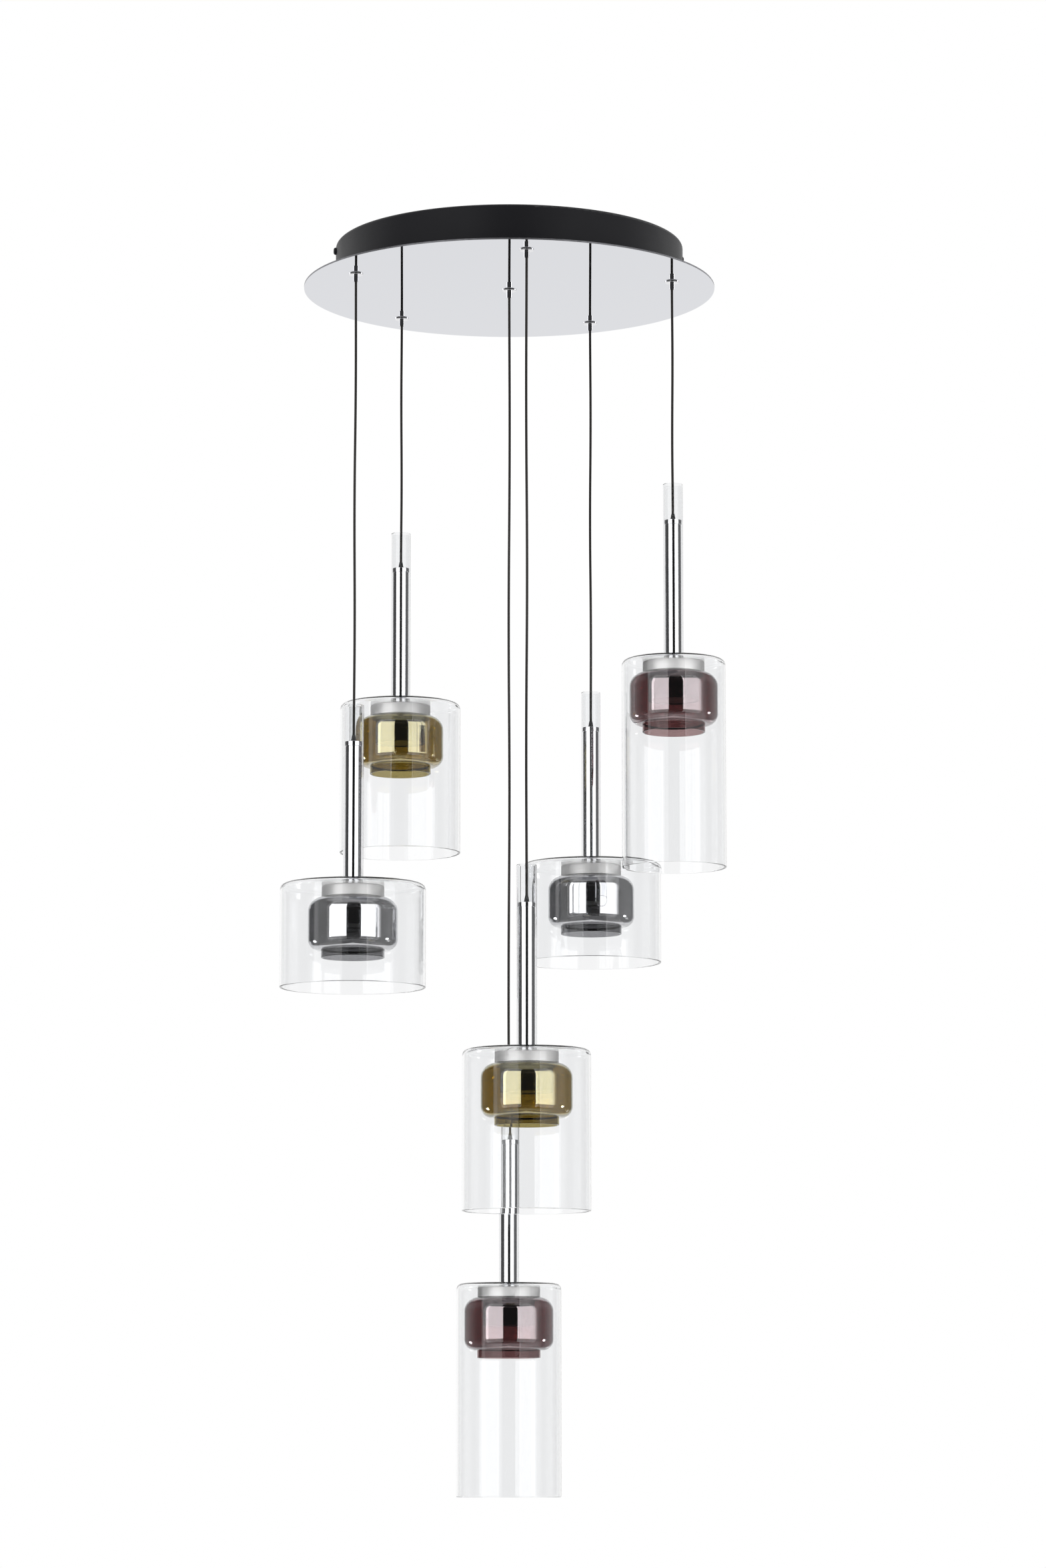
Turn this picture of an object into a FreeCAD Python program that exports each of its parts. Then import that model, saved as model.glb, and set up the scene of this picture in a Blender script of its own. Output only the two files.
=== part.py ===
import FreeCAD, Part

import math
import os
import re

import Sketcher

# A cluster pendant: six lamps on cords below a round mirror plate, in millimetres.
# The origin is the middle of the pan's ceiling face, +Z is up, and a viewer looks along +Y.

# ---------------------------------------------------------------- driving dimensions

DIMENSIONS = {
    # canopy
    "plate_diameter": 500,
    "plate_thickness": 2,
    "plate_overhang": 38.5,
    "pan_height": 51,
    "pan_wall": 1.5,
    "pan_edge_round": 4,
    "pan_seam_inset": 6,
    "canopy_turn": 5.8,
    "ceiling_hole_circle": 300,
    "ceiling_hole_diameter": 6,
    "supply_hole_diameter": 16,
    "lug_width": 20,
    "lug_thickness": 2,
    "lug_cover": 4,
    "lug_foot": 16,
    "lug_clearance": 0.3,
    "side_screw_offset": 6,
    "side_screw_diameter": 4,
    "side_screw_length": 10,
    "side_screw_head_diameter": 9,
    "side_screw_head_height": 3.2,
    "side_screw_socket_diameter": 3,
    "side_screw_socket_depth": 1.6,
    "side_screw_clearance": 0.25,
    "thread_clearance": 0.1,
    # cord grips
    "outlet_inset": 8.5,
    "grip_flange_diameter": 17.6,
    "grip_flange_thickness": 1.6,
    "grip_nipple_diameter": 6.5,
    "grip_nipple_length": 8,
    "grip_thread_diameter": 8,
    "grip_thread_length": 10,
    "grip_cord_depth": 4,
    "grip_mouth_flare": 0.7,
    "nut_width": 12,
    "nut_thickness": 4,
    # driver
    "driver_length": 150,
    "driver_width": 50,
    "driver_height": 28,
    "driver_round": 3,
    "driver_offset": 90,
    "driver_ear_length": 12,
    "driver_ear_width": 24,
    "driver_ear_thickness": 2,
    "driver_ear_hole": 4,
    # cords, and each glass top's distance below the plate
    "cord_diameter": 3,
    "cord_clearance": 0.25,
    "drop_1": 739,
    "drop_2": 487.5,
    "drop_3": 1206,
    "drop_4": 944.5,
    "drop_5": 683.5,
    "drop_6": 464,
    # cord bush and stem cap
    "ball_diameter": 7.2,
    "ball_clearance": 0.08,
    "ball_depth": 3,
    "bush_neck_diameter": 4.4,
    "bush_gap": 0.9,
    "bush_cone_diameter": 6.4,
    "bush_cone_height": 7,
    "bush_cord_wall": 0.4,
    "cap_overhang": 0.7,
    "cap_height": 5.5,
    "cap_round": 0.5,
    "cap_mouth_diameter": 6,
    "cap_spigot_length": 9,
    # stem and sleeve
    "stem_length": 170,
    "stem_diameter": 19,
    "stem_wall": 1.5,
    "spigot_clearance": 0.05,
    "sleeve_wall": 1.5,
    "sleeve_clearance": 0.3,
    "sleeve_overhang": 44,
    "sleeve_rim_round": 0.5,
    # outer glasses, each with its gap to the barrel inside it
    "wide_gap": 30.45,
    "wide_height": 123,
    "medium_gap": 18.45,
    "medium_height": 186,
    "tall_gap": 6.4,
    "tall_height": 250.5,
    "glass_wall": 2.8,
    "glass_top_wall": 3,
    "glass_round": 7,
    "glass_rim_round": 1,
    "glass_hole_clearance": 0.5,
    # lamp holder
    "holder_height": 12.8,
    "holder_plate": 3,
    "holder_skirt_wall": 1.6,
    "holder_round": 0.8,
    "holder_spigot_length": 14,
    "wire_bore": 6,
    "can_wall": 3.4,
    "can_gap": 2.4,
    "can_length": 34,
    "can_cavity_depth": 14,
    "can_ledge": 2,
    # LED module
    "lens_thickness": 3,
    "lens_inset": 1,
    "lens_clearance": 0.1,
    "board_diameter": 44,
    "board_gap": 3,
    "board_thickness": 1.6,
    # inner glass barrel
    "barrel_diameter": 106,
    "barrel_height": 72,
    "barrel_wall": 2.2,
    "barrel_round": 17,
    "barrel_lower_round": 13,
    "barrel_neck_clearance": 0.3,
    "barrel_collar_gap": 0.4,
    "barrel_mouth_diameter": 75,
    "barrel_mouth_height": 9,
    "barrel_rim_round": 0.8,
    "least_flat": 0.4,
}

OUTLETS_ON_CIRCLE = 5
CEILING_HOLES = 4

# Each pendant's outer glass, and its place on the outlet circle, counted from the front
# and counterclockwise seen from above. Pendant 3 hangs in the middle.
PENDANTS = {
    1: ("wide", 4),
    2: ("medium", 3),
    3: ("tall", None),
    4: ("medium", 0),
    5: ("wide", 2),
    6: ("tall", 1),
}

doc = FreeCAD.newDocument("ClusterPendant")
sheet = doc.addObject("Spreadsheet::Sheet", "Sizes")
for row, (alias, size) in enumerate(DIMENSIONS.items(), 1):
    sheet.set(f"A{row}", alias.replace("_", " "))
    sheet.set(f"B{row}", str(size))
    sheet.setAlias(f"B{row}", alias)
doc.recompute()

# ---------------------------------------------------------------- derived sizes, as expressions

PLATE_TOP = "(-pan_height)"
PLATE_BOTTOM = "(-pan_height - plate_thickness)"
PAN_RADIUS = "(plate_diameter / 2 - plate_overhang)"
PAN_BORE = f"({PAN_RADIUS} - pan_wall)"
PAN_SEAM = f"({PAN_RADIUS} - pan_edge_round - pan_seam_inset)"
OUTLET_RADIUS = f"({PAN_BORE} - outlet_inset)"
SIDE_SCREW_LEVEL = "(-pan_edge_round - side_screw_offset)"
LUG_HEIGHT = f"({SIDE_SCREW_LEVEL} + lug_cover - {PLATE_TOP})"
LUG_FACE = f"(sqrt({PAN_BORE}^2 - (lug_width / 2)^2) - lug_clearance)"

CORD_BORE = "(cord_diameter / 2 + cord_clearance)"
GRIP_MOUTH = f"({PLATE_BOTTOM} - grip_flange_thickness - grip_nipple_length)"
CORD_TOP = f"({GRIP_MOUTH} + grip_cord_depth)"
GRIP_THREAD_HOLE = "(grip_thread_diameter / 2 + thread_clearance)"

STEM_RADIUS = "(stem_diameter / 2)"
STEM_BORE = "(stem_diameter / 2 - stem_wall)"
STEM_SPIGOT = f"({STEM_BORE} - spigot_clearance)"
STEM_TUBE_LENGTH = "(stem_length - cap_height)"
CAP_RADIUS = f"({STEM_RADIUS} + cap_overhang)"
CAP_SEAT = "(ball_diameter / 2 + ball_clearance)"
BUSH_TOP = "(stem_length + bush_gap + bush_cone_height)"
SLEEVE_BORE = f"({CAP_RADIUS} + sleeve_clearance)"
SLEEVE_RADIUS = f"({SLEEVE_BORE} + sleeve_wall)"
SLEEVE_LENGTH = "(stem_length + sleeve_overhang)"
GLASS_HOLE = f"({STEM_SPIGOT} + glass_hole_clearance)"

# Heights inside a pendant, from the top face of its outer glass.
HOLDER_TOP = "(-glass_top_wall)"
GROOVE_TOP = f"({HOLDER_TOP} - holder_plate)"
HOLDER_BOTTOM = f"({HOLDER_TOP} - holder_height)"
CAN_BOTTOM = f"({HOLDER_BOTTOM} - can_length)"
LENS_BOTTOM = f"({CAN_BOTTOM} + lens_inset)"
LENS_TOP = f"({LENS_BOTTOM} + lens_thickness)"
CAVITY_TOP = f"({LENS_TOP} + can_cavity_depth)"
CAVITY_RADIUS = "(board_diameter / 2 + board_gap)"
LENS_RADIUS = f"({CAVITY_RADIUS} + can_ledge)"
LENS_SEAT = f"({LENS_RADIUS} + lens_clearance)"
CAN_RADIUS = f"({LENS_SEAT} + can_wall)"
BARREL_NECK = f"({CAN_RADIUS} + can_gap + barrel_wall)"
SKIRT_BORE = f"({BARREL_NECK} + barrel_neck_clearance)"
HOLDER_RADIUS = f"({SKIRT_BORE} + holder_skirt_wall)"

BARREL_TOP = f"({HOLDER_BOTTOM} - barrel_collar_gap)"
BARREL_BOTTOM = f"({HOLDER_BOTTOM} - barrel_height)"
BARREL_FOOT = f"({BARREL_BOTTOM} + barrel_mouth_height)"
BARREL_RADIUS = "(barrel_diameter / 2)"
BARREL_MOUTH = "(barrel_mouth_diameter / 2)"
BARREL_SHOULDER = f"min(barrel_round; {BARREL_RADIUS} - {BARREL_NECK} - least_flat)"
BARREL_HEEL = f"min(barrel_lower_round; {BARREL_RADIUS} - {BARREL_MOUTH} - least_flat)"
BARREL_INSIDE = f"({BARREL_RADIUS} - barrel_wall)"

# ---------------------------------------------------------------- helpers


def expr(text):
    """Put the sheet's name before each of its dimensions in an expression."""
    return re.sub(r"[a-z]\w+", lambda word: f"Sizes.{word[0]}" if word[0] in DIMENSIONS else word[0], text)


def value(text):
    """Give an expression's present number."""
    return float(sheet.evalExpression(expr(text)))


def bind(thing, **properties):
    """Bind properties to expressions; a double underscore stands for a dot."""
    for name, text in properties.items():
        thing.setExpression(name.replace("__", "."), expr(text))
    return thing


def place(thing, across="0", along="0", up="0", turn=None, axis=(0, 0, 1)):
    """Place a piece by expressions, turned by an angle about an axis where one is given."""
    bind(thing, Placement__Base__x=across, Placement__Base__y=along, Placement__Base__z=up)
    if turn is not None:
        thing.Placement.Rotation = FreeCAD.Rotation(FreeCAD.Vector(*axis), value(turn))
        bind(thing, Placement__Rotation__Angle=turn)
    return thing


def cylinder(name, radius, height, **where):
    """Make a cylinder that stands on its placement."""
    piece = doc.addObject("Part::Cylinder", name)
    bind(piece, Radius=radius, Height=height)
    return place(piece, **where)


def block(name, length, width, height, **where):
    """Make a box from its lowest corner."""
    piece = doc.addObject("Part::Box", name)
    bind(piece, Length=length, Width=width, Height=height)
    return place(piece, **where)


def joined(name, *pieces):
    """Fuse pieces into one solid."""
    whole = doc.addObject("Part::MultiFuse", name)
    whole.Shapes = list(pieces)
    return whole


def cut(name, base, *tools):
    """Take tools out of a base."""
    result = doc.addObject("Part::Cut", name)
    result.Base = base
    result.Tool = tools[0] if len(tools) == 1 else joined(f"{name}_tools", *tools)
    return result


def group(name, pieces):
    """Keep several separate solids together as one sub-part."""
    whole = doc.addObject("Part::Compound", name)
    whole.Links = list(pieces)
    return whole


def towards(start, end):
    """Give the signs of the step from one point to another."""
    return [(b > a) - (b < a) for a, b in zip(start, end)]


def rounded_outline(corners):
    """Turn corners (radius, height[, rounding]) into vertices, and the roundings between them.

    A rounded corner lies between a level and an upright side, and becomes two vertices with an
    arc from the first to the second. Other vertices have no arc.
    """
    points = [(value(corner[0]), value(corner[1])) for corner in corners]
    vertices = []
    for here, corner in enumerate(corners):
        radius, height = corner[:2]
        if len(corner) == 2:
            vertices.append((radius, height, None))
            continue
        rounding = corner[2]
        sides = points[here - 1], points[(here + 1) % len(points)]
        for side, arc in zip(sides, (rounding, None)):
            out, up = towards(points[here], side)
            vertices.append((f"{radius} + ({out}) * {rounding}", f"{height} + ({up}) * {rounding}", arc))
    return vertices


def arc_between(start, end, before, rounding):
    """Make the quarter arc that leaves start along the side from before, and say if it runs backwards."""
    step = towards(before, start)
    centre = (start[0], end[1]) if step[0] else (end[0], start[1])
    angles = [math.atan2(point[1] - centre[1], point[0] - centre[0]) for point in (start, end)]
    backwards = (angles[1] - angles[0]) % (2 * math.pi) > math.pi
    if backwards:
        angles.reverse()
    circle = Part.Circle(FreeCAD.Vector(*centre, 0), FreeCAD.Vector(0, 0, 1), rounding)
    return Part.ArcOfCircle(circle, *angles), backwards


def turned(name, corners):
    """Revolve a closed outline of (radius, height[, rounding]) corners round the Z axis."""
    body = doc.addObject("PartDesign::Body", name)
    sketch = body.newObject("Sketcher::SketchObject", f"{name}_outline")
    plane = next(item for item in body.Origin.OriginFeatures if item.Role == "XZ_Plane")
    sketch.AttachmentSupport = [(plane, "")]
    sketch.MapMode = "FlatFace"

    vertices = rounded_outline(corners)
    points = [(value(radius), value(height)) for radius, height, _ in vertices]
    starts = []
    ends = []
    for here, (_, _, rounding) in enumerate(vertices):
        start = points[here]
        end = points[(here + 1) % len(points)]
        if rounding is None:
            edge = sketch.addGeometry(Part.LineSegment(FreeCAD.Vector(*start, 0), FreeCAD.Vector(*end, 0)))
            backwards = False
        else:
            arc, backwards = arc_between(start, end, points[here - 1], value(rounding))
            edge = sketch.addGeometry(arc)
            radius_rule = sketch.addConstraint(Sketcher.Constraint("Radius", edge, value(rounding)))
            sketch.setExpression(f"Constraints[{radius_rule}]", expr(rounding))
        starts.append((edge, 2 if backwards else 1))
        ends.append((edge, 1 if backwards else 2))
    for here, (radius, height, _) in enumerate(vertices):
        sketch.addConstraint(Sketcher.Constraint("Coincident", *ends[here - 1], *starts[here]))
        for kind, number, text in zip(("DistanceX", "DistanceY"), points[here], (radius, height)):
            rule = sketch.addConstraint(Sketcher.Constraint(kind, -1, 1, *starts[here], number))
            sketch.setExpression(f"Constraints[{rule}]", expr(text))

    revolution = body.newObject("PartDesign::Revolution", f"{name}_turned")
    revolution.Profile = sketch
    revolution.ReferenceAxis = (sketch, ["V_Axis"])
    revolution.Angle = 360
    body.Tip = revolution
    return body


def outlet_angle(slot):
    """Give the direction of a place on the outlet circle, before the canopy is turned."""
    return f"({360 / OUTLETS_ON_CIRCLE * slot - 90})"


def outlet_place(slot, turned_by="0"):
    """Give an outlet's place across and along; no slot is the middle."""
    if slot is None:
        return {"across": "0", "along": "0"}
    angle = f"({outlet_angle(slot)} + {turned_by})"
    return {
        "across": f"{OUTLET_RADIUS} * cos({angle})",
        "along": f"{OUTLET_RADIUS} * sin({angle})",
    }


# ---------------------------------------------------------------- canopy


def ceiling_pan():
    """The black pan: a wall ring with a rounded upper edge, and a top disc welded into it."""
    ring = turned("pan_ring", [
        (PAN_SEAM, "0"),
        (PAN_RADIUS, "0", "pan_edge_round"),
        (PAN_RADIUS, PLATE_TOP),
        (PAN_BORE, PLATE_TOP),
        (PAN_BORE, "-pan_wall", "(pan_edge_round - pan_wall)"),
        (PAN_SEAM, "-pan_wall"),
    ])
    passage = cylinder(
        "side_screw_passage", "side_screw_diameter / 2 + side_screw_clearance", "plate_diameter",
        across="-plate_diameter / 2", up=SIDE_SCREW_LEVEL, turn="90", axis=(0, 1, 0),
    )
    disc = cylinder("pan_disc", PAN_SEAM, "pan_wall", up="-pan_wall")
    holes = [cylinder("supply_hole", "supply_hole_diameter / 2", "3 * pan_wall", up="-2 * pan_wall")]
    for number in range(CEILING_HOLES):
        angle = f"({360 / CEILING_HOLES * (number + 0.5)})"
        holes.append(cylinder(
            f"ceiling_hole_{number + 1}", "ceiling_hole_diameter / 2", "3 * pan_wall",
            across=f"ceiling_hole_circle / 2 * cos({angle})",
            along=f"ceiling_hole_circle / 2 * sin({angle})",
            up="-2 * pan_wall",
        ))
    pieces = [cut("pan_wall_ring", ring, passage), cut("pan_top_disc", disc, *holes)]
    return place(group("ceiling_pan", pieces), turn="canopy_turn")


def lug(name, side):
    """An angle lug: a foot on the plate and an upright along the pan's wall, tapped for the side screw."""
    foot_across = f"{LUG_FACE} - lug_foot" if side > 0 else f"-{LUG_FACE}"
    upright_across = f"{LUG_FACE} - lug_thickness" if side > 0 else f"-{LUG_FACE}"
    foot = block(
        f"{name}_foot", "lug_foot", "lug_width", "lug_thickness",
        across=foot_across, along="-lug_width / 2", up=PLATE_TOP,
    )
    upright = block(
        f"{name}_upright", "lug_thickness", "lug_width", LUG_HEIGHT,
        across=upright_across, along="-lug_width / 2", up=PLATE_TOP,
    )
    thread = cylinder(
        f"{name}_thread", "side_screw_diameter / 2 + thread_clearance", "3 * lug_thickness",
        across=f"{upright_across} - lug_thickness", up=SIDE_SCREW_LEVEL, turn="90", axis=(0, 1, 0),
    )
    return cut(name, joined(f"{name}_blank", foot, upright), thread)


def mirror_plate():
    """The mirror plate with its cord outlets, and the two lugs spot-welded on it."""
    disc = cylinder("plate_disc", "plate_diameter / 2", "plate_thickness", up=PLATE_BOTTOM)
    holes = [
        cylinder(
            f"outlet_hole_{number}", GRIP_THREAD_HOLE, "3 * plate_thickness",
            up=f"{PLATE_BOTTOM} - plate_thickness", **outlet_place(slot),
        )
        for number, (_, slot) in PENDANTS.items()
    ]
    pieces = [cut("plate_with_outlets", disc, *holes), lug("left_lug", -1), lug("right_lug", 1)]
    return place(group("mirror_plate", pieces), turn="canopy_turn")


def side_screws():
    """Two domed screws through the pan's wall, one on the left and one on the right."""
    screws = []
    for name, side in (("left_screw", -1), ("right_screw", 1)):
        screw = turned(name, [
            ("0", "side_screw_head_height - side_screw_socket_depth"),
            ("side_screw_socket_diameter / 2", "side_screw_head_height - side_screw_socket_depth"),
            ("side_screw_socket_diameter / 2", "side_screw_head_height"),
            ("side_screw_head_diameter / 2", "side_screw_head_height", "(side_screw_head_height * 0.75)"),
            ("side_screw_head_diameter / 2", "0"),
            ("side_screw_diameter / 2", "0"),
            ("side_screw_diameter / 2", "-side_screw_length"),
            ("0", "-side_screw_length"),
        ])
        screws.append(place(
            screw, across=f"{side} * {PAN_RADIUS}", up=SIDE_SCREW_LEVEL,
            turn=str(side * 90), axis=(0, 1, 0),
        ))
    return place(group("side_screws", screws), turn="canopy_turn")


def cord_grips():
    """Six grips: a threaded tail through the plate, a flange against it and a nipple round the cord."""
    grips = []
    for number, (_, slot) in PENDANTS.items():
        grip = turned(f"grip_{number}", [
            (CORD_BORE, "grip_thread_length"),
            ("grip_thread_diameter / 2", "grip_thread_length"),
            ("grip_thread_diameter / 2", "0"),
            ("grip_flange_diameter / 2", "0"),
            ("grip_flange_diameter / 2", "-grip_flange_thickness", "(grip_flange_thickness * 0.7)"),
            ("grip_nipple_diameter / 2", "-grip_flange_thickness"),
            ("grip_nipple_diameter / 2", "-grip_flange_thickness - grip_nipple_length"),
            (f"{CORD_BORE} + grip_mouth_flare", "-grip_flange_thickness - grip_nipple_length"),
            (CORD_BORE, "-grip_flange_thickness - grip_nipple_length + grip_cord_depth"),
        ])
        grips.append(place(grip, up=PLATE_BOTTOM, **outlet_place(slot)))
    return place(group("cord_grips", grips), turn="canopy_turn")


def grip_nuts():
    """Six hexagon nuts on the grips' tails, against the plate's upper face."""
    nuts = []
    for number, (_, slot) in PENDANTS.items():
        hexagon = doc.addObject("Part::Prism", f"nut_{number}_blank")
        hexagon.Polygon = 6
        bind(hexagon, Circumradius="nut_width / 2 / cos(30)", Height="nut_thickness")
        thread = cylinder(f"nut_{number}_thread", GRIP_THREAD_HOLE, "3 * nut_thickness", up="-nut_thickness")
        nut = cut(f"nut_{number}", hexagon, thread)
        nuts.append(place(nut, up=PLATE_TOP, **outlet_place(slot)))
    return place(group("grip_nuts", nuts), turn="canopy_turn")


def led_driver():
    """The driver box on the plate, with a screw ear at each end."""
    housing = block(
        "driver_housing", "driver_length", "driver_width", "driver_height",
        across="-driver_length / 2", along="driver_offset - driver_width / 2", up=PLATE_TOP,
    )
    ears = block(
        "driver_ears", "driver_length + 2 * driver_ear_length", "driver_ear_width", "driver_ear_thickness",
        across="-driver_length / 2 - driver_ear_length", along="driver_offset - driver_ear_width / 2",
        up=PLATE_TOP,
    )
    doc.recompute()
    rounded = doc.addObject("Part::Fillet", "driver_rounded")
    rounded.Base = housing
    rounding = value("driver_round")
    lid_edges = [
        number for number, edge in enumerate(housing.Shape.Edges, 1)
        if edge.BoundBox.ZMax > housing.Shape.BoundBox.ZMin + rounding
    ]
    rounded.Edges = [(number, rounding, rounding) for number in lid_edges]
    holes = [
        cylinder(
            f"{side_name}_ear_hole", "driver_ear_hole / 2", "3 * driver_ear_thickness",
            across=f"{side} * (driver_length / 2 + driver_ear_length / 2)", along="driver_offset",
            up=f"{PLATE_TOP} - driver_ear_thickness",
        )
        for side_name, side in (("left", -1), ("right", 1))
    ]
    return place(cut("led_driver", joined("driver_with_ears", rounded, ears), *holes), turn="canopy_turn")


# ---------------------------------------------------------------- pendants


def cord(number, where, glass_top):
    """A cord pulled straight by its lamp, from inside the grip down to the bush."""
    bottom = f"{glass_top} + {BUSH_TOP}"
    return cylinder(f"cord_{number}", "cord_diameter / 2", f"{CORD_TOP} - ({bottom})", up=bottom, **where)


def cord_bush(number, where, glass_top):
    """The cord's end: a ball in the cap, a neck through its mouth and a cone up to the cord."""
    ball = doc.addObject("Part::Sphere", f"bush_{number}_ball")
    bind(ball, Radius="ball_diameter / 2")
    neck = cylinder(f"bush_{number}_neck", "bush_neck_diameter / 2", "ball_depth + bush_gap")
    cone = doc.addObject("Part::Cone", f"bush_{number}_cone")
    bind(
        cone, Radius1="bush_cone_diameter / 2", Radius2="cord_diameter / 2 + bush_cord_wall",
        Height="bush_cone_height",
    )
    place(cone, up="ball_depth + bush_gap")
    bush = joined(f"cord_bush_{number}", ball, neck, cone)
    return place(bush, up=f"{glass_top} + stem_length - ball_depth", **where)


def stem_cap(number, where, glass_top):
    """The cap ring on the stem, with a spigot inside it and a round seat for the cord's ball."""
    spigot_end = "(-cap_height - cap_spigot_length)"
    blank = turned(f"cap_{number}_blank", [
        ("cap_mouth_diameter / 2", "0"),
        (CAP_RADIUS, "0", "cap_round"),
        (CAP_RADIUS, "-cap_height", "cap_round"),
        (STEM_SPIGOT, "-cap_height"),
        (STEM_SPIGOT, spigot_end),
        ("cap_mouth_diameter / 2", spigot_end),
    ])
    seat = doc.addObject("Part::Sphere", f"cap_{number}_seat")
    bind(seat, Radius=CAP_SEAT)
    place(seat, up="-ball_depth")
    seat_bore = cylinder(
        f"cap_{number}_seat_bore", CAP_SEAT, "cap_height + cap_spigot_length",
        up="-ball_depth - cap_height - cap_spigot_length",
    )
    cap = cut(f"stem_cap_{number}", blank, seat, seat_bore)
    return place(cap, up=f"{glass_top} + stem_length", **where)


def stem_tube(number, where, glass_top):
    """The stem, from the outer glass's top up to the cap ring."""
    tube = turned(f"stem_tube_{number}", [
        (STEM_BORE, "0"),
        (STEM_RADIUS, "0"),
        (STEM_RADIUS, STEM_TUBE_LENGTH),
        (STEM_BORE, STEM_TUBE_LENGTH),
    ])
    return place(tube, up=glass_top, **where)


def glass_sleeve(number, where, glass_top):
    """The clear tube that stands on the outer glass round the stem."""
    tube = turned(f"glass_sleeve_{number}", [
        (SLEEVE_BORE, "0"),
        (SLEEVE_RADIUS, "0"),
        (SLEEVE_RADIUS, SLEEVE_LENGTH, "sleeve_rim_round"),
        (SLEEVE_BORE, SLEEVE_LENGTH, "sleeve_rim_round"),
    ])
    return place(tube, up=glass_top, **where)


def outer_glass(number, where, glass_top, kind):
    """The clear outer glass: a rounded, closed top with the stem's hole, and an open mouth below."""
    inside = f"({BARREL_RADIUS} + {kind}_gap)"
    outside = f"({inside} + glass_wall)"
    glass = turned(f"outer_glass_{number}", [
        (GLASS_HOLE, "0"),
        (outside, "0", "glass_round"),
        (outside, f"-{kind}_height", "glass_rim_round"),
        (inside, f"-{kind}_height", "glass_rim_round"),
        (inside, "-glass_top_wall", "(glass_round - glass_wall)"),
        (GLASS_HOLE, "-glass_top_wall"),
    ])
    return place(glass, up=glass_top, **where)


def lamp_holder(number, where, glass_top):
    """The collar under the glass, its spigot up into the stem, and the can of the LED below."""
    holder = turned(f"lamp_holder_{number}", [
        ("wire_bore / 2", "holder_spigot_length"),
        (STEM_SPIGOT, "holder_spigot_length"),
        (STEM_SPIGOT, HOLDER_TOP),
        (HOLDER_RADIUS, HOLDER_TOP, "holder_round"),
        (HOLDER_RADIUS, HOLDER_BOTTOM),
        (SKIRT_BORE, HOLDER_BOTTOM),
        (SKIRT_BORE, GROOVE_TOP),
        (CAN_RADIUS, GROOVE_TOP),
        (CAN_RADIUS, CAN_BOTTOM),
        (LENS_SEAT, CAN_BOTTOM),
        (LENS_SEAT, LENS_TOP),
        (CAVITY_RADIUS, LENS_TOP),
        (CAVITY_RADIUS, CAVITY_TOP),
        ("wire_bore / 2", CAVITY_TOP),
    ])
    return place(holder, up=glass_top, **where)


def inner_glass(number, where, glass_top):
    """The coloured barrel: a neck up in the collar, round shoulders and an open mouth below."""
    glass = turned(f"inner_glass_{number}", [
        (f"{BARREL_NECK} - barrel_wall", GROOVE_TOP),
        (BARREL_NECK, GROOVE_TOP),
        (BARREL_NECK, BARREL_TOP),
        (BARREL_RADIUS, BARREL_TOP, BARREL_SHOULDER),
        (BARREL_RADIUS, BARREL_FOOT, BARREL_HEEL),
        (BARREL_MOUTH, BARREL_FOOT),
        (BARREL_MOUTH, BARREL_BOTTOM, "barrel_rim_round"),
        (f"{BARREL_MOUTH} - barrel_wall", BARREL_BOTTOM, "barrel_rim_round"),
        (f"{BARREL_MOUTH} - barrel_wall", f"{BARREL_FOOT} + barrel_wall"),
        (BARREL_INSIDE, f"{BARREL_FOOT} + barrel_wall", f"({BARREL_HEEL} - barrel_wall)"),
        (BARREL_INSIDE, f"{BARREL_TOP} - barrel_wall", f"({BARREL_SHOULDER} - barrel_wall)"),
        (f"{BARREL_NECK} - barrel_wall", f"{BARREL_TOP} - barrel_wall"),
    ])
    return place(glass, up=glass_top, **where)


def led_module(number, where, glass_top):
    """The LED board under the can's roof and the opal lens in its mouth."""
    board = cylinder(
        f"led_{number}_board", "board_diameter / 2", "board_thickness", up=f"{CAVITY_TOP} - board_thickness",
    )
    lens = cylinder(f"led_{number}_lens", LENS_RADIUS, "lens_thickness", up=LENS_BOTTOM)
    return place(group(f"led_module_{number}", [board, lens]), up=glass_top, **where)


# ---------------------------------------------------------------- the whole lamp

sub_parts = [ceiling_pan(), mirror_plate(), side_screws(), cord_grips(), grip_nuts(), led_driver()]
for number, (kind, slot) in PENDANTS.items():
    where = outlet_place(slot, "canopy_turn")
    glass_top = f"({PLATE_BOTTOM} - drop_{number})"
    sub_parts.append(cord(number, where, glass_top))
    sub_parts.append(cord_bush(number, where, glass_top))
    sub_parts.append(stem_cap(number, where, glass_top))
    sub_parts.append(stem_tube(number, where, glass_top))
    sub_parts.append(glass_sleeve(number, where, glass_top))
    sub_parts.append(outer_glass(number, where, glass_top, kind))
    sub_parts.append(lamp_holder(number, where, glass_top))
    sub_parts.append(inner_glass(number, where, glass_top))
    sub_parts.append(led_module(number, where, glass_top))
doc.recompute()

for thing in doc.Objects:
    if {"Invalid", "Error"} & set(thing.State):
        raise RuntimeError(f"{thing.Label} did not compute: {thing.State}")
for part in sub_parts:
    if part.Shape.isNull() or not part.Shape.isValid():
        raise RuntimeError(f"{part.Label} has no valid shape")

os.makedirs("parts", exist_ok=True)
for part in sub_parts:
    part.Shape.exportStep(f"parts/{part.Label}.step")

for number in PENDANTS:
    length = doc.getObject(f"cord_{number}").Shape.BoundBox.ZLength
    print(f"cord {number}: {length:.1f} mm, straight")
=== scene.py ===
import math

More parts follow.
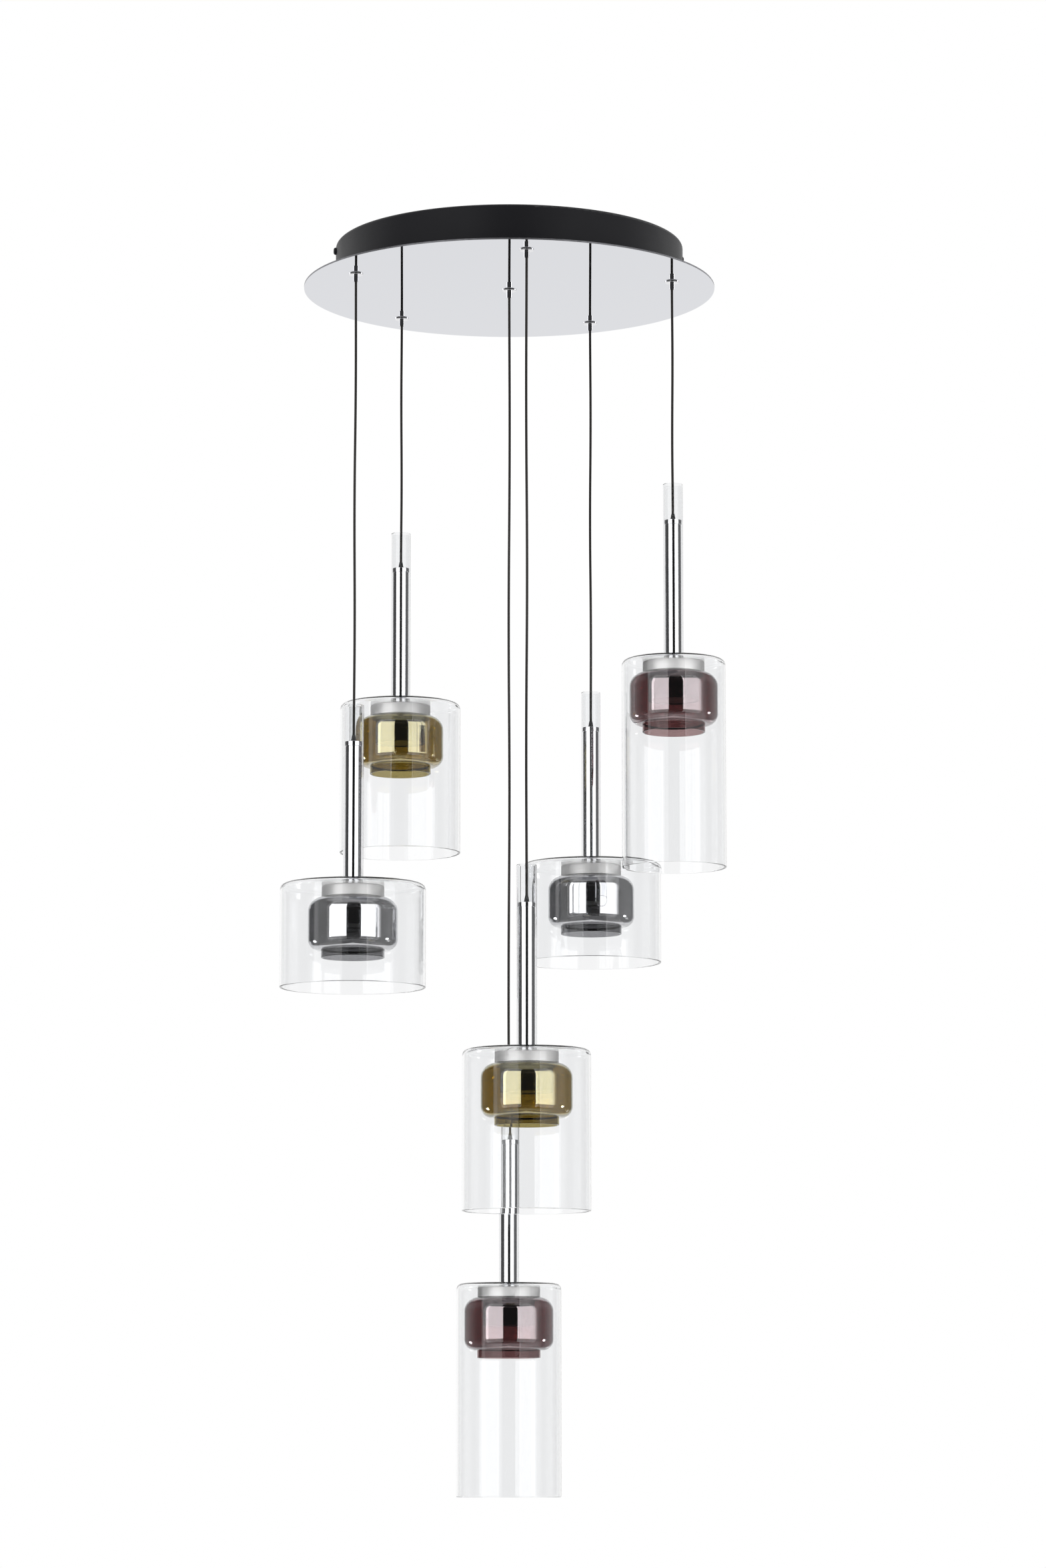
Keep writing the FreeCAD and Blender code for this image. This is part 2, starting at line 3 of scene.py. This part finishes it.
import bmesh
import bpy
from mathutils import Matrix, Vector


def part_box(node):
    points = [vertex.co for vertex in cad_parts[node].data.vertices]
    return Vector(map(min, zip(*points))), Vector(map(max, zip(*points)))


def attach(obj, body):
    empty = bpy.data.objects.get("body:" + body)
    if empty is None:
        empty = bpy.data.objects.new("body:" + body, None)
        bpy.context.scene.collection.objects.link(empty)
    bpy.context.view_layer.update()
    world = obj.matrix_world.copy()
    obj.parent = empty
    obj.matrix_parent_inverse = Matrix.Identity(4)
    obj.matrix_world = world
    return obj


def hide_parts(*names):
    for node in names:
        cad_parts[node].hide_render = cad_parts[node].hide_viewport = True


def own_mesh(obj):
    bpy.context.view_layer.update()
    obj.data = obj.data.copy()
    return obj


# A cluster pendant in metres, in the row frame: the ceiling is z = 0 and the camera looks along +Y.

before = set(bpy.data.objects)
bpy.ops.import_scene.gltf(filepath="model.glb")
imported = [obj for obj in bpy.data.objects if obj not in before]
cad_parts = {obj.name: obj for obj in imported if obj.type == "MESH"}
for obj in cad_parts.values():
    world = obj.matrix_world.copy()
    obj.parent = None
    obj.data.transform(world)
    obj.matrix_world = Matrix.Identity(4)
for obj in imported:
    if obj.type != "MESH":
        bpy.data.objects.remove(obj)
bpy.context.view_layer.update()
scene = bpy.context.scene

PENDANTS = (1, 2, 3, 4, 5, 6)

# ---------------------------------------------------------------- camera

CAMERA_PLACE = (0.0, -5.7776, -1.4623)
CAMERA_TILT = 7.895
CAMERA_YAW = 0.166
CAMERA_LENS = 111.37


def make_camera():
    """The photograph's camera: far off, below the glasses and tilted up."""
    data = bpy.data.cameras.new("camera")
    data.lens = CAMERA_LENS
    camera = bpy.data.objects.new("camera", data)
    camera.location = CAMERA_PLACE
    camera.rotation_euler = (math.radians(90 + CAMERA_TILT), 0, math.radians(-CAMERA_YAW))
    scene.collection.objects.link(camera)
    scene.camera = camera


# ---------------------------------------------------------------- node helpers


def feed(tree, socket, source):
    """Link an output to a socket, or set the socket's own value."""
    if isinstance(source, bpy.types.NodeSocket):
        tree.links.new(source, socket)
    else:
        socket.default_value = source


def add(tree, kind, inputs=(), output=0, **settings):
    """Add a node with its settings and inputs, and give one of its outputs."""
    node = tree.nodes.new(kind)
    for name, setting in settings.items():
        setattr(node, name, setting)
    for name, source in dict(inputs).items():
        feed(tree, node.inputs[name], source)
    return node.outputs[output]


def arithmetic(tree, operation, *sources):
    """Add a math node."""
    return add(tree, "ShaderNodeMath", enumerate(sources), operation=operation)


def ramp(tree, source, low, high, low_value=0.0, high_value=1.0):
    """Go smoothly from one value to another as the source goes from low to high."""
    inputs = {"Value": source, "From Min": low, "From Max": high, "To Min": low_value, "To Max": high_value}
    return add(tree, "ShaderNodeMapRange", inputs, interpolation_type="SMOOTHSTEP")


def window(tree, source, low, high, blur):
    """Be one between low and high, and fall to zero over the blur outside them."""
    rise = ramp(tree, source, low - blur, low)
    fall = ramp(tree, source, high, high + blur, 1.0, 0.0)
    return arithmetic(tree, "MULTIPLY", rise, fall)


def stretched_noise(tree, scale, across=1.0, upright=1.0, detail=2.0):
    """Noise over the row frame, stretched along the level or the upright axes."""
    place = add(tree, "ShaderNodeTexCoord", output="Object")
    stretch = add(tree, "ShaderNodeMapping", {"Vector": place, "Scale": (across, across, upright)})
    return add(tree, "ShaderNodeTexNoise", {"Vector": stretch, "Scale": scale, "Detail": detail})


def bump(tree, height, depth, normal=None):
    """Turn a height pattern of this depth, in metres, into a normal."""
    inputs = {"Height": height, "Distance": depth, "Strength": 1.0}
    if normal is not None:
        inputs["Normal"] = normal
    return add(tree, "ShaderNodeBump", inputs)


def new_material(name):
    """Make an empty material and give it with its tree."""
    material = bpy.data.materials.new(name)
    material.use_nodes = True
    material.node_tree.nodes.clear()
    return material, material.node_tree


def finish_material(tree, shader):
    """Send a shader to the material's surface."""
    surface = tree.nodes.new("ShaderNodeOutputMaterial")
    tree.links.new(shader, surface.inputs["Surface"])


# ---------------------------------------------------------------- materials


def painted_shade_can():
    """Painted shade: the holder's aluminium can made near black, standing in for the shade it sits in inside the
    barrel.
    """
    material, tree = new_material("painted_shade_can_finish")
    lines = stretched_noise(tree, 30.0, across=0.3, upright=90.0, detail=3.0)
    finish_material(tree, add(tree, "ShaderNodeBsdfPrincipled", {
        "Base Color": (0.02, 0.02, 0.021, 1),
        "Roughness": ramp(tree, lines, 0.3, 0.7, 0.38, 0.5),
        "Specular IOR Level": 0.3,
        "Normal": bump(tree, lines, 0.00002),
    }))
    return material


def black_satin():
    """Satin powder coat with a fine orange-peel surface."""
    material, tree = new_material("black_satin_coat")
    peel = stretched_noise(tree, 700.0)
    finish_material(tree, add(tree, "ShaderNodeBsdfPrincipled", {
        "Base Color": (0.010, 0.010, 0.013, 1),
        "Roughness": ramp(tree, stretched_noise(tree, 12.0), 0.3, 0.7, 0.42, 0.50),
        "Specular IOR Level": 0.28,
        "Normal": bump(tree, peel, 0.00002),
    }))
    return material


def mirror_steel():
    """Mirror-polished steel, very slightly wavy."""
    material, tree = new_material("mirror_steel_polish")
    wave = stretched_noise(tree, 9.0, detail=0.0)
    finish_material(tree, add(tree, "ShaderNodeBsdfPrincipled", {
        "Base Color": (0.62, 0.63, 0.665, 1),
        "Metallic": 1.0,
        "Roughness": ramp(tree, stretched_noise(tree, 60.0), 0.3, 0.8, 0.012, 0.03),
        "Normal": bump(tree, wave, 0.00008),
    }))
    return material


def cut_steel():
    """The plate's sheared edge: dull, with upright drag lines."""
    material, tree = new_material("cut_steel_edge")
    lines = stretched_noise(tree, 160.0, upright=0.1)
    finish_material(tree, add(tree, "ShaderNodeBsdfPrincipled", {
        "Base Color": (0.30, 0.30, 0.32, 1), "Metallic": 1.0, "Roughness": ramp(tree, lines, 0.3, 0.7, 0.35, 0.5),
    }))
    return material


def chrome():
    """Bright chrome plate with faint polishing lines."""
    material, tree = new_material("bright_chrome")
    lines = stretched_noise(tree, 40.0, across=6.0, upright=0.4)
    finish_material(tree, add(tree, "ShaderNodeBsdfPrincipled", {
        "Base Color": (0.72, 0.72, 0.74, 1),
        "Metallic": 1.0,
        "Roughness": ramp(tree, lines, 0.3, 0.7, 0.03, 0.05),
    }))
    return material


def zinc_steel():
    """Dull zinc plate with a blotchy grain."""
    material, tree = new_material("zinc_plate")
    grain = stretched_noise(tree, 220.0, detail=4.0)
    tint = add(tree, "ShaderNodeMix", {"Factor": grain, "A": (0.50, 0.50, 0.47, 1), "B": (0.66, 0.66, 0.67, 1)},
               output=2, data_type="RGBA")
    finish_material(tree, add(tree, "ShaderNodeBsdfPrincipled", {
        "Base Color": tint, "Metallic": 1.0, "Roughness": ramp(tree, grain, 0.2, 0.8, 0.28, 0.45),
    }))
    return material


def satin_aluminium():
    """Turned aluminium: fine level lines and a satin sheen."""
    material, tree = new_material("turned_aluminium")
    lines = stretched_noise(tree, 30.0, across=0.3, upright=90.0, detail=3.0)
    finish_material(tree, add(tree, "ShaderNodeBsdfPrincipled", {
        "Base Color": (0.95, 0.94, 0.93, 1),
        "Metallic": 1.0,
        "Roughness": ramp(tree, lines, 0.3, 0.7, 0.52, 0.62),
        "Normal": bump(tree, lines, 0.000004),
    }))
    return material


def plastic(name, colour, rough, grain_scale, grain_depth):
    """Moulded plastic with a fine spark-eroded grain."""
    material, tree = new_material(name)
    grain = stretched_noise(tree, grain_scale, detail=4.0)
    finish_material(tree, add(tree, "ShaderNodeBsdfPrincipled", {
        "Base Color": colour,
        "Roughness": ramp(tree, grain, 0.3, 0.7, rough - 0.05, rough + 0.05),
        "Normal": bump(tree, grain, grain_depth),
    }))
    return material


def driver_plastic():
    """Light grey housing plastic."""
    return plastic("driver_housing", (0.62, 0.63, 0.62, 1), 0.45, 500.0, 0.00003)


def bush_black():
    """Black moulded nylon."""
    return plastic("black_nylon", (0.018, 0.018, 0.019, 1), 0.42, 900.0, 0.00002)


def opal_plastic():
    """Milky plastic that lets some light into itself."""
    material, tree = new_material("opal_disc")
    haze = stretched_noise(tree, 120.0, detail=3.0)
    finish_material(tree, add(tree, "ShaderNodeBsdfPrincipled", {
        "Base Color": (0.30, 0.30, 0.29, 1),
        "Roughness": ramp(tree, haze, 0.3, 0.7, 0.34, 0.42),
        "Subsurface Weight": 0.25,
        "Subsurface Radius": (0.004, 0.004, 0.004),
        "Normal": bump(tree, haze, 0.00001),
    }))
    return material


def cord_black():
    """Black round cord with a smooth, matt sheath."""
    material, tree = new_material("black_cord")
    grain = stretched_noise(tree, 260.0, upright=0.15, detail=3.0)
    tint = add(tree, "ShaderNodeMix", {
        "Factor": grain, "A": (0.036, 0.033, 0.030, 1), "B": (0.028, 0.026, 0.024, 1),
    }, output=2, data_type="RGBA")
    finish_material(tree, add(tree, "ShaderNodeBsdfPrincipled", {
        "Base Color": tint,
        "Roughness": 0.6,
        "Specular IOR Level": 0.25,
        "Normal": bump(tree, grain, 0.00001),
    }))
    return material


def let_lamps_through(tree, glass, tint):
    """Let the lamps' light through a glass wall as through tinted air, so that it casts a pale shadow."""
    path = tree.nodes.new("ShaderNodeLightPath")
    open_air = add(tree, "ShaderNodeBsdfTransparent", {"Color": tint})
    mix = tree.nodes.new("ShaderNodeMixShader")
    feed(tree, mix.inputs[0], path.outputs["Is Shadow Ray"])
    feed(tree, mix.inputs[1], glass)
    feed(tree, mix.inputs[2], open_air)
    return mix.outputs[0]


def clear_glass(name, tint, ior):
    """Clear glass, with a trace of waviness."""
    material, tree = new_material(name)
    wave = stretched_noise(tree, 14.0, across=1.0, upright=0.35, detail=1.0)
    glass = add(tree, "ShaderNodeBsdfPrincipled", {
        "Base Color": tint,
        "Roughness": 0.0,
        "IOR": ior,
        "Transmission Weight": 1.0,
        "Normal": bump(tree, wave, 0.00002),
    })
    finish_material(tree, let_lamps_through(tree, glass, (0.93, 0.93, 0.93, 1)))
    return material


def wall_glass(name, tint, ior=1.5):
    """A barrel's glass without its metal coat."""
    material, tree = new_material(name)
    wave = stretched_noise(tree, 20.0, across=1.0, upright=0.5, detail=1.0)
    glass = add(tree, "ShaderNodeBsdfPrincipled", {
        "Base Color": tint,
        "Roughness": 0.0,
        "IOR": ior,
        "Transmission Weight": 1.0,
        "Normal": bump(tree, wave, 0.0001),
    })
    finish_material(tree, let_lamps_through(tree, glass, tint))
    return material


# How much of the light a coat mirrors, where it mirrors more than it passes and where it doesn't, and what its
# thicker clouds pass.
BRIGHT_COAT_SHARE = 0.6
DIM_COAT_SHARE = 0.4
THICK_COAT = 0.86


def metal_coat(name, mirrored, passed):
    """The metal vapour on a barrel's inner face: it mirrors one colour and lets another through."""
    material, tree = new_material(name)
    cloud = stretched_noise(tree, 16.0, across=1.0, upright=0.6, detail=2.0)
    share = BRIGHT_COAT_SHARE if mirrored[0] > passed[0] else DIM_COAT_SHARE
    mirror_tint = [tone / share for tone in mirrored]
    passed_tint = [tone / (1 - share) for tone in passed]
    thicker = add(tree, "ShaderNodeMix", {
        "Factor": ramp(tree, cloud, 0.25, 0.75),
        "A": (*passed_tint, 1), "B": (*[tone * THICK_COAT for tone in passed_tint], 1),
    }, output=2, data_type="RGBA")
    mirror = add(tree, "ShaderNodeBsdfGlossy", {"Color": (*mirror_tint, 1), "Roughness": 0.005})
    through = add(tree, "ShaderNodeBsdfRefraction", {"Color": thicker, "Roughness": 0.0, "IOR": 1.5})
    coat = tree.nodes.new("ShaderNodeMixShader")
    feed(tree, coat.inputs[0], share)
    feed(tree, coat.inputs[1], through)
    feed(tree, coat.inputs[2], mirror)
    finish_material(tree, let_lamps_through(tree, coat.outputs[0], (*passed, 1)))
    return material


MATERIALS = {
    "black_satin": black_satin(),
    "mirror_steel": mirror_steel(),
    "chrome": chrome(),
    "zinc_steel": zinc_steel(),
    "driver_plastic": driver_plastic(),
    "bush_black": bush_black(),
    "satin_aluminium": satin_aluminium(),
    "opal_plastic": opal_plastic(),
    "cord_black": cord_black(),
    "clear_glass": clear_glass("clear_blown_glass", (0.964, 0.968, 0.973, 1), 1.45),
    "sleeve_glass": clear_glass("clear_drawn_glass", (0.92, 0.925, 0.93, 1), 1.3),
    "smoke_glass": wall_glass("smoke_wall", (0.97, 0.97, 0.98, 1)),
    "olive_glass": wall_glass("olive_wall", (0.97, 0.97, 0.94, 1)),
    "plum_glass": wall_glass("plum_wall", (0.97, 0.95, 0.96, 1)),
}

# Painted shade: the near-black finish that stands in for the shade on the holder's can inside the barrel.
CAN_SHADE_PAINT = painted_shade_can()
PLATE_EDGE = cut_steel()

COATS = {
    "smoke_glass": metal_coat("smoke_coat", (0.56, 0.56, 0.57), (0.13, 0.13, 0.132)),
    "olive_glass": metal_coat("olive_coat", (0.36, 0.33, 0.20), (0.33, 0.25, 0.06)),
    "plum_glass": metal_coat("plum_coat", (0.27, 0.235, 0.24), (0.24, 0.12, 0.12)),
}

LIPS = {
    "smoke_glass": wall_glass("smoke_lip", (0.30, 0.30, 0.31, 1), 1.2),
    "olive_glass": wall_glass("olive_lip", (0.33, 0.27, 0.10, 1), 1.2),
    "plum_glass": wall_glass("plum_lip", (0.34, 0.22, 0.22, 1), 1.2),
}

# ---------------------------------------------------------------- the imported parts' finishes

CANOPY_FINISH = {
    "ceiling_pan": "black_satin",
    "side_screws": "black_satin",
    "cord_grips": "chrome",
    "grip_nuts": "zinc_steel",
    "led_driver": "driver_plastic",
}

PENDANT_FINISH = {
    "cord_bush": "bush_black",
    "stem_cap": "chrome",
    "stem_tube": "chrome",
    "glass_sleeve": "sleeve_glass",
    "outer_glass": "clear_glass",
    "led_module": "opal_plastic",
}

BARREL_FINISH = {
    1: "smoke_glass", 2: "olive_glass", 3: "plum_glass", 4: "olive_glass", 5: "smoke_glass", 6: "plum_glass",
}

# What tells a piece's faces apart, in metres where it is a length: the plate's edge, a barrel's inner faces, its
# lip, and the collar's height under the holder's spigot.
LEVEL_FACE = 0.3
BARREL_FACE = 0.0004
LIP_RADIUS = 0.038
LIP_HEIGHT = 0.0112
HOLDER_HEIGHT = 0.0128
SPIGOT_LENGTH = 0.017


def dress(node, *finishes):
    """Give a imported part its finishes."""
    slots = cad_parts[node].data.materials
    slots.clear()
    for finish in finishes:
        slots.append(finish)


def coat_inside(node):
    """Coat a barrel's faces that look at its middle, and give its narrow lip the thin, unmirrored coat."""
    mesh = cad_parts[node].data
    low, high = (Vector(corner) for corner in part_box(node))
    middle = (low + high) / 2
    for face in mesh.polygons:
        inward = middle - face.center
        narrow = Vector((inward.x, inward.y)).length < LIP_RADIUS
        if narrow and face.center.z < low.z + LIP_HEIGHT:
            face.material_index = 2
        else:
            face.material_index = 1 if face.normal.dot(inward) > BARREL_FACE else 0


def dull_edge(node):
    """Give the plate's upright faces the sheared edge's finish."""
    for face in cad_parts[node].data.polygons:
        face.material_index = 1 if abs(face.normal.z) < LEVEL_FACE else 0


def paint_can_shade(node, level):
    """Give a lamp holder's faces below its collar the near-black painted shade of the barrel's inside."""
    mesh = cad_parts[node].data
    for face in mesh.polygons:
        face.material_index = 1 if face.center.z < level else 0


def dress_all():
    """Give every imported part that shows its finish."""
    for node, finish in CANOPY_FINISH.items():
        dress(node, MATERIALS[finish])
    dress("mirror_plate", MATERIALS["mirror_steel"], PLATE_EDGE)
    dull_edge("mirror_plate")
    for number in PENDANTS:
        for part, finish in PENDANT_FINISH.items():
            dress(f"{part}_{number}", MATERIALS[finish])
        collar_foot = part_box(f"lamp_holder_{number}")[1][2] - HOLDER_HEIGHT - SPIGOT_LENGTH
        dress(f"lamp_holder_{number}", MATERIALS["satin_aluminium"], CAN_SHADE_PAINT)
        # The can below the collar gets the painted shade.
        paint_can_shade(f"lamp_holder_{number}", collar_foot)
        tint = BARREL_FINISH[number]
        dress(f"inner_glass_{number}", MATERIALS[tint], COATS[tint], LIPS[tint])
        coat_inside(f"inner_glass_{number}")


# ---------------------------------------------------------------- cords

CORD_DIAMETER = 0.003
CORD_TOP = -0.0586
CORD_STRAIGHT = 0.018
CORD_GAP = 0.00005

# For each pendant: its outlet, the cord's lower end, how far the pendant can rise, and the small sideways
# drifts of the hanging cord, evenly spaced down its length.
CORD_ROUTES = {
    1: ((-0.184364, -0.081314), -0.6141, 0.495, ((0.0006, 0.0), (-0.0008, 0.0004), (0.0007, -0.0003))),
    2: ((-0.134263, 0.150177), -0.3626, 0.243, ((-0.0005, 0.0003), (0.0006, 0.0))),
    3: ((0.0, 0.0), -1.0811, 0.962, ((0.0008, 0.0), (-0.0010, 0.0004), (0.0009, 0.0), (-0.0007, -0.0004))),
    4: ((0.020441, -0.200460), -0.8196, 0.700, ((-0.0008, 0.0), (0.0009, 0.0003), (-0.0008, 0.0))),
    5: ((0.101373, 0.174150), -0.5586, 0.439, ((0.0007, 0.0), (-0.0008, 0.0), (0.0005, 0.0003))),
    6: ((0.196861, -0.042553), -0.3391, 0.220, ((0.0005, 0.0), (-0.0006, 0.0))),
}


def cord_curve(name, points, bevel):
    """A smooth curve along a cord's control points, as a tube if it has a bevel."""
    curve = bpy.data.curves.new(name, "CURVE")
    curve.dimensions = "3D"
    curve.bevel_depth = bevel
    curve.bevel_resolution = 4
    curve.use_fill_caps = bevel > 0
    spline = curve.splines.new("NURBS")
    spline.points.add(len(points) - 1)
    for control, point in zip(spline.points, points):
        control.co = (*point, 1)
    spline.resolution_u = 8
    spline.order_u = 3
    spline.use_endpoint_u = True
    carrier = bpy.data.objects.new(name, curve)
    mesh = bpy.data.meshes.new_from_object(carrier)
    bpy.data.objects.remove(carrier)
    bpy.data.curves.remove(curve)
    return mesh


def make_cord(number):
    """Hang one cord from its grip to its pendant's cap."""
    (x, y), bottom, travel, drifts = CORD_ROUTES[number]
    length = CORD_TOP - bottom
    points = [(x, y, CORD_TOP), (x, y, CORD_TOP - CORD_STRAIGHT)]
    for step, (aside, away) in enumerate(drifts, start=1):
        points.append((x + aside, y + away, CORD_TOP - length * step / (len(drifts) + 1)))
    points += [(x, y, bottom + CORD_STRAIGHT), (x, y, bottom + CORD_GAP)]
    line = cord_curve("cord_line", points, 0.0)
    bpy.data.meshes.remove(line)
    tube = cord_curve(f"hung_cord_{number}", points, CORD_DIAMETER / 2)
    tube.materials.append(MATERIALS["cord_black"])
    tube.shade_smooth()
    cord = bpy.data.objects.new(f"hung_cord_{number}", tube)
    scene.collection.objects.link(cord)
    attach(cord, f"cord_{number}")
    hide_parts(f"cord_{number}")
    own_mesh(cord)


# ---------------------------------------------------------------- room

FLOOR_LEVEL = -2.4
FLOOR_RADIUS = 6.0
WHITE = (1, 1, 1, 1)

# A ray's depths: once and twice mirrored, and past the sleeve or outer glass, and past a barrel too.
ONCE_MIRRORED = 0.5
TWICE_MIRRORED = 1.5
PAST_GLASS = 2.5
PAST_BARREL = 4.5


def make_floor():
    """A pale round floor under the lamp, seen only from above and not mirrored in it."""
    form = bmesh.new()
    bmesh.ops.create_circle(form, cap_ends=True, segments=96, radius=FLOOR_RADIUS)
    mesh = bpy.data.meshes.new("floor")
    form.to_mesh(mesh)
    form.free()
    material, tree = new_material("pale_floor")
    pale = add(tree, "ShaderNodeBsdfDiffuse", {"Color": (0.98, 0.98, 0.98, 1)})
    unseen = add(tree, "ShaderNodeBsdfTransparent", {"Color": WHITE})
    path = tree.nodes.new("ShaderNodeLightPath")
    mirrored = arithmetic(tree, "GREATER_THAN", path.outputs["Glossy Depth"], ONCE_MIRRORED)
    behind = tree.nodes.new("ShaderNodeNewGeometry").outputs["Backfacing"]
    mix = tree.nodes.new("ShaderNodeMixShader")
    feed(tree, mix.inputs[0], arithmetic(tree, "MAXIMUM", behind, mirrored))
    feed(tree, mix.inputs[1], pale)
    feed(tree, mix.inputs[2], unseen)
    finish_material(tree, mix.outputs[0])
    mesh.materials.append(material)
    floor = bpy.data.objects.new("floor", mesh)
    floor.location.z = FLOOR_LEVEL
    scene.collection.objects.link(floor)


# The dark room that the lamp mirrors, in degrees turned from the camera or above the horizon. Each is a ramp:
# where it begins and ends, and the light at both.
LEFT_OF_ROOM = (-80.0, -40.0, 0.08, 0.012)
RIGHT_OF_ROOM = (30.0, 80.0, 0.012, 0.15)
SIDE_WALLS = (70.0, 110.0, 0.05, 0.85)
BACK_WALL = (146.0, 156.0)
CEILING = (40.0, 65.0, 0.0, 0.45)
FLOOR_EDGE = (-60.0, -38.0)
FLOOR_LIGHT = 0.12
FLOOR_GAIN = 0.4

# A softbox stands on each side of the camera, and their light is what the glass and chrome mirror: where each
# begins and ends as turns from the camera, how softly its outer side fades, and its brighter strip. The slender
# stems mirror them wider and taller than the barrels do, and the clear glasses' own outsides mirror them weaker.
SOFTBOXES = (
    (-62.0, -15.5, 1.0, -62.0, -55.0),
    (24.0, 64.0, 20.0, 24.0, 26.0),
)
STEM_SOFTBOXES = ((-67.0, -15.5), (22.0, 72.0))
SOFTBOX_LEVELS = (-5.0, 34.0)
STEM_SOFTBOX_LEVELS = (-32.0, 50.0)
SOFTBOX_STRENGTH = 2.3
SHALLOW_STRENGTH = 0.8
STRIP_GAIN = 0.6

# Two small bright lamps behind the softboxes: the turn and level of each, and their half width and height.
SPOTS = ((105.0, -10.0), (-125.0, -18.0))
SPOT_HALF = (3.5, 5.0)
SPOT_STRENGTH = 8.0


def room_light(tree, turn, level, deep, again):
    """The room without its softboxes: dark, and white behind the lamp.

    The clear glasses' own outsides mirror pale side walls, and what is mirrored twice meets a pale floor.
    """
    aside = arithmetic(tree, "ABSOLUTE", turn)
    dark = arithmetic(tree, "MAXIMUM", ramp(tree, turn, *LEFT_OF_ROOM), ramp(tree, turn, *RIGHT_OF_ROOM))
    walls = add(tree, "ShaderNodeMix", {"Factor": deep, "A": ramp(tree, aside, *SIDE_WALLS), "B": dark})
    behind = ramp(tree, aside, *BACK_WALL)
    above = ramp(tree, level, *CEILING)
    floor = arithmetic(tree, "MULTIPLY_ADD", again, FLOOR_GAIN, FLOOR_LIGHT)
    below = ramp(tree, level, *FLOOR_EDGE, floor, 0.0)
    return arithmetic(tree, "MAXIMUM", arithmetic(tree, "MAXIMUM", walls, behind),
                      arithmetic(tree, "MAXIMUM", above, below))


def studio_light(tree, path):
    """The studio as the lamp mirrors it: softboxes and two small lamps in the room."""
    deep = arithmetic(tree, "GREATER_THAN", path.outputs["Transmission Depth"], PAST_GLASS)
    deeper = arithmetic(tree, "GREATER_THAN", path.outputs["Transmission Depth"], PAST_BARREL)
    in_sleeve = arithmetic(tree, "SUBTRACT", deep, deeper)
    again = arithmetic(tree, "GREATER_THAN", path.outputs["Glossy Depth"], TWICE_MIRRORED)
    direction = add(tree, "ShaderNodeTexCoord", output="Generated")
    parts = tree.nodes.new("ShaderNodeSeparateXYZ")
    feed(tree, parts.inputs[0], direction)
    toward = arithmetic(tree, "MULTIPLY", parts.outputs["Y"], -1.0)
    turn = arithmetic(tree, "DEGREES", arithmetic(tree, "ARCTAN2", parts.outputs["X"], toward))
    level = arithmetic(tree, "DEGREES", arithmetic(tree, "ARCSINE", parts.outputs["Z"]))
    light = room_light(tree, turn, level, deep, again)
    low = window(tree, level, *SOFTBOX_LEVELS, 3.0)
    tall = window(tree, level, *STEM_SOFTBOX_LEVELS, 3.0)
    height = add(tree, "ShaderNodeMix", {"Factor": in_sleeve, "A": low, "B": tall})
    strength = ramp(tree, deep, 0.0, 1.0, SHALLOW_STRENGTH, SOFTBOX_STRENGTH)
    for (left, right, fade, strip_left, strip_right), stem_sides in zip(SOFTBOXES, STEM_SOFTBOXES):
        wide = window(tree, turn, *stem_sides, 2.0)
        narrow = arithmetic(tree, "MULTIPLY", ramp(tree, turn, left - 0.5, left),
                            ramp(tree, turn, right, right + fade, 1.0, 0.0))
        sides = add(tree, "ShaderNodeMix", {"Factor": in_sleeve, "A": narrow, "B": wide})
        strip = window(tree, turn, strip_left, strip_right, 0.4)
        box = arithmetic(tree, "MULTIPLY", arithmetic(tree, "MULTIPLY_ADD", strip, STRIP_GAIN, sides), height)
        light = arithmetic(tree, "MULTIPLY_ADD", box, strength, light)
    half_width, half_height = SPOT_HALF
    for across, up in SPOTS:
        spot = arithmetic(tree, "MULTIPLY", window(tree, turn, across - half_width, across + half_width, 1.5),
                          window(tree, level, up - half_height, up + half_height, 2.0))
        light = arithmetic(tree, "MULTIPLY_ADD", spot, SPOT_STRENGTH, light)
    return light


def make_world():
    """White where the camera looks past or through the glass, and the studio where something mirrors it.

    Only the rays that leave a surface find its light, which keeps the satin collars even.
    """
    world = bpy.data.worlds.new("studio")
    scene.world = world
    world.use_nodes = True
    world.cycles.sampling_method = "NONE"
    tree = world.node_tree
    tree.nodes.clear()
    path = tree.nodes.new("ShaderNodeLightPath")
    mirrored = arithmetic(tree, "GREATER_THAN", path.outputs["Glossy Depth"], ONCE_MIRRORED)
    strength = add(tree, "ShaderNodeMix", {
        "Factor": mirrored, "A": 1.0, "B": studio_light(tree, path),
    })
    background = add(tree, "ShaderNodeBackground", {"Color": WHITE, "Strength": strength})
    world_output = tree.nodes.new("ShaderNodeOutputWorld")
    feed(tree, world_output.inputs["Surface"], background)


def set_rays():
    """Allow the many glass walls that a ray passes, and smooth the grain that is left."""
    scene.cycles.max_bounces = 32
    scene.cycles.diffuse_bounces = 3
    scene.cycles.glossy_bounces = 10
    scene.cycles.transmission_bounces = 32
    scene.cycles.transparent_max_bounces = 32
    scene.cycles.use_denoising = True
    scene.view_settings.view_transform = "Standard"


make_camera()
for number in PENDANTS:
    make_cord(number)
dress_all()
make_floor()
make_world()
set_rays()
